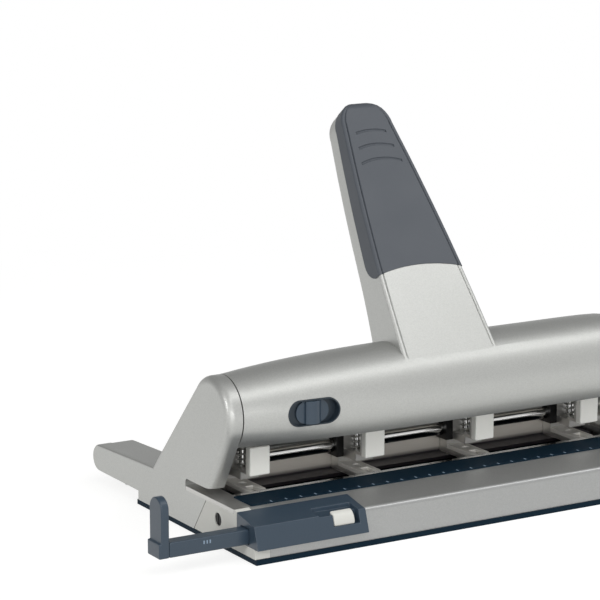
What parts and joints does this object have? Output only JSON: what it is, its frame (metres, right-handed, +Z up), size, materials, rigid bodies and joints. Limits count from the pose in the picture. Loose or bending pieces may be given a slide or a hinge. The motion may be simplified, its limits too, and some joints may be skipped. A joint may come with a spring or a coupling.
{
  "type": "adjustable hole punch",
  "caption": "Wide desk hole punch with a central lever, a barrel cover, punch units that slide along a rod, a ruled paper table and a pull-out paper guide.",
  "frame": {"origin": "on the desk, under the middle of the base mat", "axes": "+X along the punch, +Y from the paper side to the back, +Z up"},
  "size_m": [0.3695, 0.2105, 0.2368],
  "materials": {
    "silver_paint": "silver metallic paint, satin",
    "base_paint": "silver grey paint, satin",
    "pale_plastic": "light grey plastic",
    "slate_plastic": "blue grey plastic",
    "navy_plastic": "dark blue plastic",
    "soft_grip": "soft touch grip",
    "steel": "plated sheet steel",
    "black_steel": "blackened screws",
    "chrome": "polished rod and pins",
    "extruded_aluminium": "plain extrusion",
    "black_plastic": "black plastic",
    "foot_rubber": "rubber"
  },
  "bodies": {
    "base": {"base_mat": "navy_plastic", "base_pan": "base_paint", "left_end_cap": "silver_paint", "right_end_cap": "silver_paint", "left_base_cover": "pale_plastic", "right_base_cover": "pale_plastic", "cover_screws": "black_steel", "foot_pads": "foot_rubber", "paper_table": "steel", "ruler_strip": "navy_plastic", "table_edge": "chrome", "rear_rail": "extruded_aluminium", "back_panel": "base_paint", "guide_rod": "chrome", "left_pivot_pin": "steel", "right_pivot_pin": "steel", "guide_housing": "slate_plastic", "guide_catch": "pale_plastic"},
    "lever": {"lever_cover": "silver_paint", "handle_grip": "soft_grip", "cam_shaft": "extruded_aluminium", "left_lever_plate": "silver_paint", "right_lever_plate": "silver_paint", "lock_bezel": "navy_plastic"},
    "lock": {"lock_slider": "slate_plastic"},
    "guide": {"guide_bar": "slate_plastic", "guide_stop": "slate_plastic"},
    "unit_1": {"unit_1_frame": "steel", "unit_1_face": "pale_plastic", "unit_1_clip": "black_plastic", "unit_1_die": "steel"},
    "punch_1": {"unit_1_pin": "chrome", "unit_1_spring": "steel"},
    "unit_2": {"unit_2_frame": "steel", "unit_2_face": "pale_plastic", "unit_2_clip": "black_plastic", "unit_2_die": "steel"},
    "punch_2": {"unit_2_pin": "chrome", "unit_2_spring": "steel"},
    "unit_3": {"unit_3_frame": "steel", "unit_3_face": "pale_plastic", "unit_3_clip": "black_plastic", "unit_3_die": "steel"},
    "punch_3": {"unit_3_pin": "chrome", "unit_3_spring": "steel"},
    "unit_4": {"unit_4_frame": "steel", "unit_4_face": "pale_plastic", "unit_4_clip": "black_plastic", "unit_4_die": "steel"},
    "punch_4": {"unit_4_pin": "chrome", "unit_4_spring": "steel"}
  },
  "joints": [
    {"name": "lever_hinge", "type": "hinge", "parent": "base", "child": "lever", "pos_m": [0, -0.0185, 0.0765], "axis": [-1, 0, 0], "range_deg": [0, 32], "stiffness_Nm_per_rad": 1.5, "springref_deg": -34.38},
    {"name": "lock_slide", "type": "slide", "parent": "lever", "child": "lock", "axis": [1, 0, 0], "range_m": [-0.005, 0.005]},
    {"name": "guide_slide", "type": "slide", "parent": "base", "child": "guide", "axis": [1, 0, 0], "range_m": [-0.01, 0.05]},
    {"name": "unit_1_slide", "type": "slide", "parent": "base", "child": "unit_1", "axis": [1, 0, 0], "range_m": [-0.005, 0.03]},
    {"name": "punch_1_stroke", "type": "slide", "parent": "unit_1", "child": "punch_1", "axis": [0, 0, -1], "range_m": [0, 0.0098], "deforming": ["unit_1_spring"]},
    {"name": "unit_2_slide", "type": "slide", "parent": "base", "child": "unit_2", "axis": [1, 0, 0], "range_m": [-0.025, 0.025]},
    {"name": "punch_2_stroke", "type": "slide", "parent": "unit_2", "child": "punch_2", "axis": [0, 0, -1], "range_m": [0, 0.0098], "deforming": ["unit_2_spring"]},
    {"name": "unit_3_slide", "type": "slide", "parent": "base", "child": "unit_3", "axis": [1, 0, 0], "range_m": [-0.025, 0.025]},
    {"name": "punch_3_stroke", "type": "slide", "parent": "unit_3", "child": "punch_3", "axis": [0, 0, -1], "range_m": [0, 0.0098], "deforming": ["unit_3_spring"]},
    {"name": "unit_4_slide", "type": "slide", "parent": "base", "child": "unit_4", "axis": [1, 0, 0], "range_m": [-0.03, 0.012]},
    {"name": "punch_4_stroke", "type": "slide", "parent": "unit_4", "child": "punch_4", "axis": [0, 0, -1], "range_m": [0, 0.0098], "deforming": ["unit_4_spring"]}
  ],
  "couplings": [
    {"joint": "punch_1_stroke", "follows": "lever_hinge", "m_per_rad": 0.0175},
    {"joint": "punch_2_stroke", "follows": "lever_hinge", "m_per_rad": 0.0175},
    {"joint": "punch_3_stroke", "follows": "lever_hinge", "m_per_rad": 0.0175},
    {"joint": "punch_4_stroke", "follows": "lever_hinge", "m_per_rad": 0.0175}
  ]
}
